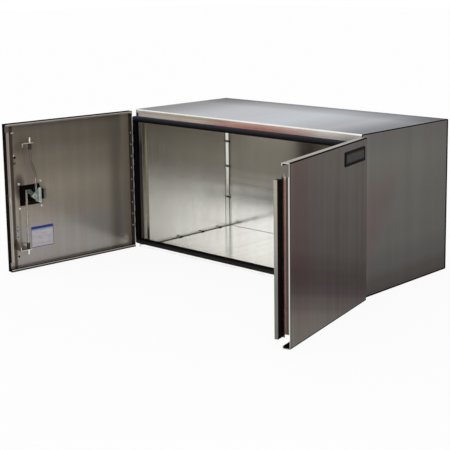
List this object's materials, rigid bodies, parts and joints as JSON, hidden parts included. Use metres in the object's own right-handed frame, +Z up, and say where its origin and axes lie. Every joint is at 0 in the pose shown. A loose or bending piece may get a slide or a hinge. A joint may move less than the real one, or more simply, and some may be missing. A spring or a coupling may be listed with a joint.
{
  "type": "underbody truck tool box",
  "caption": "Wide bare-metal underbody truck tool box with side-hinged double doors, a collared and sealed opening, and a T-handle latch that drives lock rods up and down.",
  "frame": {"origin": "middle of the bottom face of the box's body, which lies in z = 0", "axes": "+X to the right as seen from the front, +Y to the back, +Z up. At rest both doors stand open as in the picture."},
  "size_m": [1.4763, 1.1943, 0.6096],
  "materials": {
    "sheet": "bright rolled sheet, mirror-like inside",
    "door_sheet": "bright rolled sheet with a faint vertical grain",
    "strip_metal": "bright folded sheet",
    "seal_rubber": "satin black",
    "hinge_metal": "satin mill finish",
    "pin_steel": "satin",
    "rivets": "satin",
    "dish_black": "satin black coat",
    "bright_fastener": "bright zinc",
    "zinc_plate": "pale greenish zinc plate",
    "housing_metal": "plain grey sheet",
    "rod_steel": "zinc-plated rod",
    "bush_plastic": "black",
    "handle_chrome": "polished",
    "lock_brass": "satin"
  },
  "bodies": {
    "box": {"body_wrap": "sheet", "left_end_panel": "sheet", "right_end_panel": "sheet", "opening_frame": "sheet", "door_seal": "seal_rubber", "left_hinge_body_leaf": "hinge_metal", "right_hinge_body_leaf": "hinge_metal", "left_hinge_pin": "pin_steel", "right_hinge_pin": "pin_steel", "left_body_leaf_rivets": "rivets", "right_body_leaf_rivets": "rivets"},
    "left_door": {"left_door_panel": "door_sheet", "left_hinge_door_leaf": "hinge_metal", "left_door_leaf_rivets": "rivets", "latch_dish": "dish_black", "dish_bolts": "bright_fastener", "dish_nuts": "bright_fastener", "upper_rod_guide": "zinc_plate", "lower_rod_guide": "zinc_plate", "upper_guide_bush": "bush_plastic", "lower_guide_bush": "bush_plastic", "guide_rivets": "rivets", "latch_housing": "housing_metal"},
    "latch_handle": {"t_handle": "handle_chrome", "lock_barrel": "handle_chrome", "cam_plate": "zinc_plate", "cam_pins": "rod_steel", "spindle_nut": "bright_fastener"},
    "lock_plug": {"lock_plug": "lock_brass"},
    "upper_rod": {"upper_lock_rod": "rod_steel"},
    "lower_rod": {"lower_lock_rod": "rod_steel"},
    "right_door": {"right_door_panel": "door_sheet", "right_hinge_door_leaf": "hinge_metal", "right_door_leaf_rivets": "rivets", "overlap_strip": "strip_metal", "overlap_seal": "seal_rubber", "overlap_strip_rivets": "rivets"}
  },
  "joints": [
    {"name": "left_door_hinge", "type": "hinge", "parent": "box", "child": "left_door", "pos_m": [-0.6116, -0.2945, 0.304], "axis": [0, 0, 1], "range_deg": [-41, 95]},
    {"name": "right_door_hinge", "type": "hinge", "parent": "box", "child": "right_door", "pos_m": [0.6116, -0.2945, 0.304], "axis": [0, 0, 1], "range_deg": [-103.6, 32.4]},
    {"name": "handle_turn", "type": "hinge", "parent": "left_door", "child": "latch_handle", "pos_m": [-0.68474, -0.79202, 0.304], "axis": [0.9962, -0.0872, 0], "range_deg": [0, 90]},
    {"name": "upper_rod_slide", "type": "slide", "parent": "left_door", "child": "upper_rod", "axis": [0, 0, 1], "range_m": [0, 0.0401]},
    {"name": "lower_rod_slide", "type": "slide", "parent": "left_door", "child": "lower_rod", "axis": [0, 0, -1], "range_m": [0, 0.0401]},
    {"name": "lock_plug_turn", "type": "hinge", "parent": "latch_handle", "child": "lock_plug", "pos_m": [-0.68474, -0.79202, 0.304], "axis": [0.9962, -0.0872, 0], "range_deg": [0, 90]}
  ],
  "couplings": [
    {"joint": "upper_rod_slide", "follows": "handle_turn", "m_per_rad": 0.025479},
    {"joint": "lower_rod_slide", "follows": "handle_turn", "m_per_rad": 0.025479}
  ]
}
